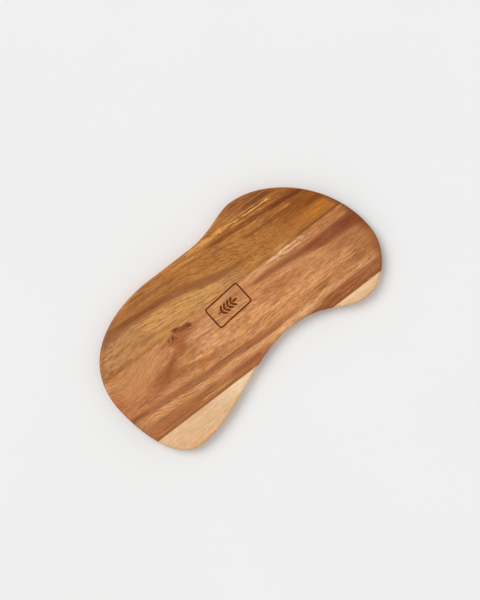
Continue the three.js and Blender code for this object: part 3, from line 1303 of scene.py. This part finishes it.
def pinkish_heartwood(board: Board, panel: EngravedPanel) -> Wood:
    """The middle stave: pinkish tan, with a knot at its upper joint and an eye in the grain below it.

    Args:
        board: The board's sizes.
        panel: The engraving that is burnt into it.

    Returns:
        The finish.
    """
    eye = ((-195, 0), (-130, 0), (-115, 0.8), (-90, 1.5), (-20, 1.1), (60, 0.3), (120, 0))
    return Wood(
        name="pinkish_heartwood",
        board=board,
        panel=panel,
        ground=(205, 143, 91),
        lean=0.5,
        contrast=1.08,
        bends=(Spindle(-15, eye, 60),),
        calm=(
            Oval((-112, -14), (32, 15), 0.6, 10, 0.3),
            Oval((-140, 7), (56, 24), 0.4, 0, 0.3),
            Oval((-80, 4), (26, 14), 0.5, 50, 0.3),
            Oval((150, 2), (66, 11), 0.6, -3, 0.3),
        ),
        patches=(
            Patch((-182, -8), (24, 32), 0.85, tint=(187, 118, 69)),
            Patch((-142, -9), (28, 13), 0.7, tint=(196, 129, 75)),
            Patch((-186, -40), (17, 20), 0.7, tint=(166, 104, 64)),
            Patch((-150, -24), (52, 12), 0.85, 0, 0.2, tint=(184, 119, 75)),
            Patch((-118, -14), (30, 14), 0.9, 10, 0.25, tint=(163, 98, 56)),
            Patch((-101, -6), (24, 9), 0.6, 32, 0.2, tint=(166, 101, 59)),
            Patch((-81, 4), (21, 12), 0.9, 56, 0.25, tint=(172, 105, 60)),
            Patch((-102, -22), (30, 9), 0.8, -8, 0.1, tint=(168, 104, 60)),
            Patch((-97, -9), (11, 7), 0.7, tint=(172, 106, 58)),
            Patch((-84, -28), (24, 5), 0.6, -6, tint=(182, 116, 68)),
            Patch((-84, -10), (9, 4.5), 0.55, tint=(204, 142, 76)),
            Patch((-66, -9), (16, 7), 0.8, -6, 0.1, tint=(190, 123, 72)),
            Patch((-76, 14.5), (38, 10), 0.85, -3, 0.2, tint=(172, 108, 64)),
            Patch((-38, 4), (28, 10), 0.85, tint=(214, 157, 110)),
            Patch((-38, -15), (38, 13), 0.95, -10, 0.15, tint=(232, 173, 121)),
            Patch((172, -32), (86, 27), 0.92, 0, 0.15, tint=(178, 118, 70)),
            Patch((90, -41), (42, 8), 0.75, tint=(184, 124, 76)),
            Patch((150, -12), (56, 8), 0.8, tint=(174, 114, 69)),
            Patch((62, -9), (46, 11), 0.9, -3, 0.1, tint=(184, 116, 73)),
            Patch((166, 17), (58, 9), 0.9, 0, 0.2, tint=(178, 116, 68)),
            Patch((8, 15), (26, 8), 0.85, tint=(183, 120, 79)),
            Patch((24, -4), (20, 6), 0.75, tint=(192, 128, 83)),
            Patch((-162, -10), (15, 9), 0.6, tint=(188, 122, 73)),
            Patch((92, -8), (20, 6), 0.55, tint=(188, 122, 76)),
            Patch((112, -20), (18, 5), 0.65, tint=(184, 122, 75)),
            Patch((60, -29), (40, 6), 0.6, tint=(218, 157, 103)),
            Patch((160, -38), (26, 6), 0.7, tint=(166, 108, 63)),
        ),
        streaks=(
            # The eye: a lower arm under pale wood
            Streak(((-60, -16), (-20, -19), (60, -23)), 7, 8, 0.75, 30, 60, tint=(214, 152, 98)),
            Streak(((-121, -24), (-116, -15), (-105, -8), (-95, -1), (-84, 6)),
                   3, 3, 0.6, 6, 12, 0.5, tint=(150, 88, 50)),
            Streak(((-112, -16), (-90, -21), (-80, -23.5), (-70, -26.4), (-58, -29.6), (-30, -34)),
                   3.4, 3.2, 0.85, 20, 44, tint=(174, 108, 62)),
            Streak(((-90, -18), (-70, -20), (-48, -24)), 1.3, 1.2, 0.6, 12, tint=(226, 166, 112)),
            Streak(((-100, -0.8), (-75, -1.5), (-54, -2.2), (-26, -3.2)),
                   1.3, 1.4, 0.65, 14, 20, tint=(168, 104, 60)),
            Streak(((-84, -8), (-62, -10.5), (-48, -11)), 1.3, 1.5, 0.6, 12, 12, tint=(186, 118, 70)),
            # The reddish streak and the pale stripe under it
            Streak(((-195, -32.5), (-180, -33), (-150, -35.4), (-130, -36.8), (-110, -38.8), (-80, -41.4),
                    (-50, -43.4), (-20, -45), (10, -45.4), (40, -46), (85, -47.2)),
                   3.6, 3.6, 0.9, 1, 64, 1.3, tint=(163, 102, 64)),
            Streak(((-98, -49.4), (-66, -51), (-32, -52)), 2.4, 2.6, 0.85, 18, 18, 0.6, tint=(226, 166, 112)),
            Streak(((-195, -33), (-175, -33.5), (-150, -35)), 2.6, 2.8, 0.7, 1, 26, tint=(138, 79, 46)),
            Streak(((-160, -39.5), (-120, -41.4), (-100, -43.8), (-60, -46)),
                   1.2, 1.2, 0.5, 20, 20, tint=(146, 90, 56)),
            Streak(((-124, -36.8), (-95, -38.8), (-70, -40), (-40, -41), (6, -41.6)),
                   1.1, 1.4, 0.4, 20, 20, tint=(146, 89, 54)),
            Streak(((-178, -43), (-140, -45.4), (-100, -49), (-60, -51), (-20, -52.2), (20, -53),
                    (60, -53), (100, -51.8), (180, -51.5)),
                   3.8, 3.6, 0.95, 40, 30, tint=(216, 157, 103)),
            Streak(((14, -53.4), (36, -53.6), (60, -53.2), (92, -52.4)),
                   2.4, 3, 0.9, 20, 30, tint=(232, 179, 128)),
            Streak(((-40, -46.4), (-10, -47.2), (20, -48), (44, -48.6)),
                   1.6, 1.6, 0.75, 24, 24, tint=(150, 90, 55)),
            Streak(((-72, -38.8), (-40, -40.2), (0, -40.6)), 0.8, 0.9, 0.6, 14, 16, tint=(142, 85, 48)),
            Streak(((-76, -44.4), (-50, -45.6), (-16, -46.6)), 0.7, 0.8, 0.5, 12, tint=(192, 130, 84)),
            Streak(((-10, -22), (60, -25.5), (100, -27.4), (175, -28)),
                   4.6, 5.4, 0.8, 30, 44, tint=(218, 156, 100)),
            # Brown wood along the sapwood
            Streak(((-195, -59.5), (-130, -62), (-100, -64.5), (-60, -67), (-20, -67.5), (16, -68)),
                   10, 20, 0.95, 1, 15, tint=(177, 113, 68)),
            Streak(((-120, -57), (-90, -57.4), (-66, -56.4)), 1.3, 1.5, 0.6, tint=(152, 94, 50)),
            Streak(((-112, -59.6), (-96, -60.6), (-76, -62)), 0.9, 1, 0.65, 10, 12, tint=(138, 82, 46)),
            Streak(((-60, -60.5), (-36, -61), (-4, -61)), 2.8, 3.2, 0.8, 16, 10, tint=(150, 89, 56)),
            Streak(((-168, -51.4), (-140, -52.2), (-112, -52.4)), 0.9, 1, 0.55, 12, tint=(152, 92, 52)),
            Streak(((-172, -62.5), (-140, -63), (-108, -62)), 1.2, 1.2, 0.45, 12, 12, tint=(146, 91, 52)),
            Streak(((-102, -63.4), (-75, -64.4), (-50, -65.6)), 1.3, 1.3, 0.75, 12, 12, tint=(212, 150, 98)),
            Streak(((-195, -68), (-120, -68.5), (-70, -68.6), (-25, -68.8)),
                   1.1, 1.3, 0.6, 1, 10, tint=(126, 82, 44)),
            Streak(((52, -66), (90, -64), (130, -63.5), (195, -63)),
                   8, 20, 0.97, 26, 1, 1.2, tint=(146, 86, 48)),
            Streak(((84, -56), (130, -55.4), (176, -55)), 1, 1.1, 0.6, 16, 1, tint=(136, 80, 42)),
            Streak(((84, -63), (138, -62.5)), 1.3, 1.4, 0.55, tint=(134, 77, 43)),
            Streak(((88, -68.4), (130, -68.4), (195, -68.3)), 1, 1.2, 0.6, 10, 1, tint=(126, 76, 40)),
            Streak(((66, -57), (88, -57)), 1.2, 1.2, 0.6, 6, 6, tint=(206, 147, 91)),
            # The dark wedge that opens towards the head, and the peach band above it
            Streak(((20, 12), (60, 12.4), (100, 12.6), (150, 12.2)),
                   2.2, 2.4, 0.7, 25, 30, tint=(184, 122, 78)),
            Streak(((14, 10.5), (45, 10), (70, 9.2), (110, 8)),
                   2.8, 3.2, 0.9, 36, 30, 0.6, tint=(162, 99, 62)),
            Streak(((40, 7.6), (80, 6.8), (110, 6.2), (140, 6.8), (195, 7.4)),
                   3.6, 4.4, 1, 80, 1, 0.5, tint=(150, 88, 51)),
            Streak(((78, 3), (105, 1.4), (130, -0.4), (160, -2.6), (195, -5)),
                   4.4, 5, 1, 62, 1, 0.5, tint=(148, 87, 50)),
            Streak(((112, 4.8), (135, 3.4), (160, 2.2), (195, 1)),
                   5.4, 5.4, 1, 52, 1, 0.4, tint=(138, 77, 47)),
            Streak(((104, 5.8), (118, 5.6), (138, 5)), 1.8, 2, 0.5, 10, 16, tint=(126, 68, 40)),
            Streak(((140, 5), (160, 3.6), (195, 2)), 3, 3.6, 0.5, 20, 1, tint=(120, 62, 40)),
            Streak(((48, -0.8), (80, -1.2), (105, -2.8), (136, -7.4)),
                   1.5, 1.5, 0.65, 20, 20, tint=(214, 150, 100)),
            Streak(((8, 18.4), (50, 19), (90, 19.6), (145, 19)), 3.4, 3.4, 0.9, 24, 54, tint=(208, 150, 104)),
            Streak(((58, 20.8), (80, 20.6), (102, 20.8)), 1.1, 1.2, 0.8, 10, 10, 2, tint=(240, 190, 142)),
            Streak(((96, 21), (124, 20.8)), 1.1, 1.1, 0.8, 8, 8, 2, tint=(240, 188, 140)),
            Streak(((68, 16.2), (100, 16.8), (128, 16.2)), 1.2, 1.2, 0.7, 14, 14, 2, tint=(230, 176, 126)),
            # Short dark lines towards the head
            Streak(((88, -43.8), (106, -44)), 0.9, 1, 0.8, 6, 6, tint=(132, 82, 44)),
            Streak(((88, -42), (110, -42)), 0.7, 0.8, 0.7, 6, 6, tint=(140, 90, 50)),
            Streak(((86, -38.6), (116, -38.8)), 0.9, 1, 0.7, 8, 8, tint=(138, 90, 50)),
            Streak(((118, -47.6), (150, -47.4)), 0.7, 0.8, 0.55, 8, 8, tint=(150, 98, 54)),
            Streak(((150, -45), (190, -44.6)), 0.8, 0.8, 0.6, 10, 1, tint=(204, 144, 84)),
            Streak(((64, -46), (90, -46.2)), 1, 1.1, 0.5, 8, 8, tint=(158, 104, 62)),
            Streak(((126, -15.5), (195, -15)), 1.7, 1.7, 0.55, 22, 1, tint=(158, 104, 58)),
        ),
        knots=(
            Patch((190, -4), (28, 40), 0.95, tint=(134, 78, 43)),
            Patch((182, -40), (30, 15), 0.9, 68, tint=(156, 97, 54)),
            Patch((181, 16), (13, 20), 0.85, tint=(130, 76, 42)),
            Patch((-66, 20.2), (19, 6.4), 0.88, -8, 0.1, tint=(134, 74, 42)),
            Patch((-73, 15.6), (9, 3), 0.8, -8, 0.2, tint=(178, 110, 54)),
            Patch((-75, 22.2), (8, 3.2), 0.95, -14, 0.1, tint=(110, 48, 16)),
            Patch((-57.4, 18.8), (6.4, 4.2), 0.9, -30, 0.25, tint=(104, 50, 24)),
            Patch((-82.4, 18), (2.3, 6.4), 0.9, -32, 0.3, tint=(112, 56, 26)),
            Patch((-88.6, 18.4), (2, 5), 0.8, -34, 0.25, tint=(124, 68, 36)),
            Patch((-49, 16.4), (4, 2.4), 0.6, 10, tint=(150, 92, 56)),
            Patch((-79, 15.2), (4, 1.7), 0.8, -50, tint=(108, 56, 28)),
        ),
    )


def pale_sapwood(board: Board) -> Wood:
    """The sapwood: cream, with faint lines.

    Args:
        board: The board's sizes.

    Returns:
        The finish.
    """
    return Wood(
        name="pale_sapwood",
        board=board,
        ground=(232, 190, 142),
        contrast=0.45,
        pore_share=0.2,
        patches=(
            Patch((-50, -76), (60, 16), 0.9, tint=(246, 216, 174)),
            Patch((-130, -100), (60, 12), 0.8, tint=(230, 184, 134)),
            Patch((128, -73), (46, 9), 0.8, tint=(244, 206, 160)),
        ),
    )


# The studio


@dataclass(frozen=True)
class Studio:
    """A pale floor, soft light, and a camera that looks straight down on the board, turned in its frame."""

    board: Board
    aim: Point = (9.2 * MM, 4.9 * MM)
    grain_turn: float = math.radians(37.5)
    view_height: float = 0.72
    lens: float = 85.0
    sensor: float = 36.0
    floor_half: float = 8.0
    floor_tones: tuple[Colour, Colour] = (srgb(242, 242, 241), srgb(246, 246, 246))
    floor_clouds: Grain = Grain(300, 300, 1, 2, 0.5)
    floor_roughness: float = 0.9
    floor_relief: float = 0.01 * MM
    sky: float = 0.6
    sun: float = 0.36
    sun_from: tuple[float, float, float] = (-0.35, 1.0, 1.3)
    sun_breadth: float = math.radians(40)

    def floor(self) -> None:
        """A plain pale floor that the board lies on."""
        half = self.floor_half
        mesh = bpy.data.meshes.new("floor")
        corners = [(-half, -half, 0), (half, -half, 0), (half, half, 0), (-half, half, 0)]
        mesh.from_pydata(corners, [], [(0, 1, 2, 3)])
        nodes = Nodes("pale_floor")
        clouds = self.floor_clouds.noise(nodes, *nodes.split(nodes.millimetres()))
        colour = nodes.mix(clouds, *self.floor_tones)
        mesh.materials.append(nodes.surface(colour, self.floor_roughness, clouds, self.floor_relief))
        floor = put("floor", mesh)

    def light(self) -> None:
        """An even white sky, and one broad soft lamp from the picture's upper left, far off.

        The two shares add up to the level at which a white face lying flat shows as white.
        """
        world = bpy.data.worlds.new("sky")
        world.use_nodes = True
        background = world.node_tree.nodes["Background"]
        background.inputs["Color"].default_value = (1.0, 1.0, 1.0, 1.0)
        background.inputs["Strength"].default_value = self.sky
        bpy.context.scene.world = world
        lamp = bpy.data.lights.new("key", "SUN")
        holder = put("key", lamp)
        toward = Vector(self.sun_from).normalized()
        lamp.angle = self.sun_breadth
        lamp.energy = self.sun * math.pi / toward.z
        holder.rotation_euler = toward.to_track_quat("Z", "Y").to_euler()

    def camera(self) -> None:
        """The camera, far enough off for its lens to frame the view's height at the level of the top."""
        view = bpy.data.cameras.new("camera")
        view.lens = self.lens
        view.sensor_width = self.sensor
        holder = put("camera", view)
        distance = self.view_height * self.lens / self.sensor
        holder.location = (*self.aim, self.board.thickness - self.board.edge_round + distance)
        holder.rotation_euler = (0.0, 0.0, -self.grain_turn)
        bpy.context.scene.camera = holder


# The pieces


def staves(board: Board, panel: EngravedPanel) -> list[SawnPiece]:
    """The four wooden pieces: the sapwood stave is cut in two by the waist.

    Args:
        board: The board's sizes.
        panel: The engraving on its top.

    Returns:
        The upper and the middle stave, and the toe and the heel of the sapwood.
    """
    film = board.glue_film / 2
    upper, below_upper = board.upper_joint + film, board.upper_joint - film
    above_lower, lower = board.lower_joint + film, board.lower_joint - film
    fall, rise = Run.CROWN_TO_TOE, Run.HEEL_TO_CROWN
    into, out = Run.TOE_TO_WAIST, Run.WAIST_TO_HEEL
    sapwood = pale_sapwood(board)
    crown = [Reach((rise, upper), (fall, upper), steps=320)]
    waisted = [
        Reach((fall, below_upper), (fall, above_lower), steps=90),
        Reach((into, above_lower), (out, above_lower), steps=90),
        Reach((rise, above_lower), (rise, below_upper), steps=90),
    ]
    toe = [Reach((fall, lower), (into, lower), steps=140)]
    heel = [Reach((out, lower), (rise, lower), steps=80)]
    golden, pinkish = golden_heartwood(board, panel), pinkish_heartwood(board, panel)
    return [
        SawnPiece("upper_stave_wood", "upper_stave", "golden_heartwood", board, crown, golden),
        SawnPiece("middle_stave_wood", "middle_stave", "pinkish_heartwood", board, waisted, pinkish),
        SawnPiece("toe_stave_wood", "toe_sapwood_stave", "sapwood", board, toe, sapwood),
        SawnPiece("heel_stave_wood", "heel_sapwood_stave", "sapwood", board, heel, sapwood),
    ]


def glue_lines(board: Board, panel: EngravedPanel) -> list[SawnPiece]:
    """The three films of glue in the joints.

    Args:
        board: The board's sizes.
        panel: The engraving on its top.

    Returns:
        The film under the upper stave, and those at the toe and the heel.
    """
    film = board.glue_film / 2
    fall, rise = Run.CROWN_TO_TOE, Run.HEEL_TO_CROWN
    into, out = Run.TOE_TO_WAIST, Run.WAIST_TO_HEEL
    glue = Glue(board, panel)
    ends = {
        "upper_glue_line": (fall, rise, board.upper_joint),
        "toe_glue_line": (fall, into, board.lower_joint),
        "heel_glue_line": (out, rise, board.lower_joint),
    }
    films = []
    for node, (left, right, level) in ends.items():
        down = Reach((left, level + film), (left, level - film), steps=2)
        up = Reach((right, level - film), (right, level + film), steps=2)
        films.append(SawnPiece(f"{node}_film", node, "glue", board, [down, up], glue))
    return films


def main() -> None:
    """Builds the board's pieces and the studio, in order."""
    logging.basicConfig(level=logging.INFO)
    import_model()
    bpy.context.scene.view_settings.view_transform = "Standard"
    board = Board()
    panel = EngravedPanel(board)
    studio = Studio(board)
    studio.camera()
    studio.light()
    studio.floor()
    engraved = ("upper_stave", "middle_stave", "upper_glue_line")
    for piece in staves(board, panel) + glue_lines(board, panel):
        piece.build()
        if piece.node in engraved:
            panel.cut(piece.object)
        piece.dress()
    bpy.context.view_layer.update()


if __name__ == "__main__":
    main()
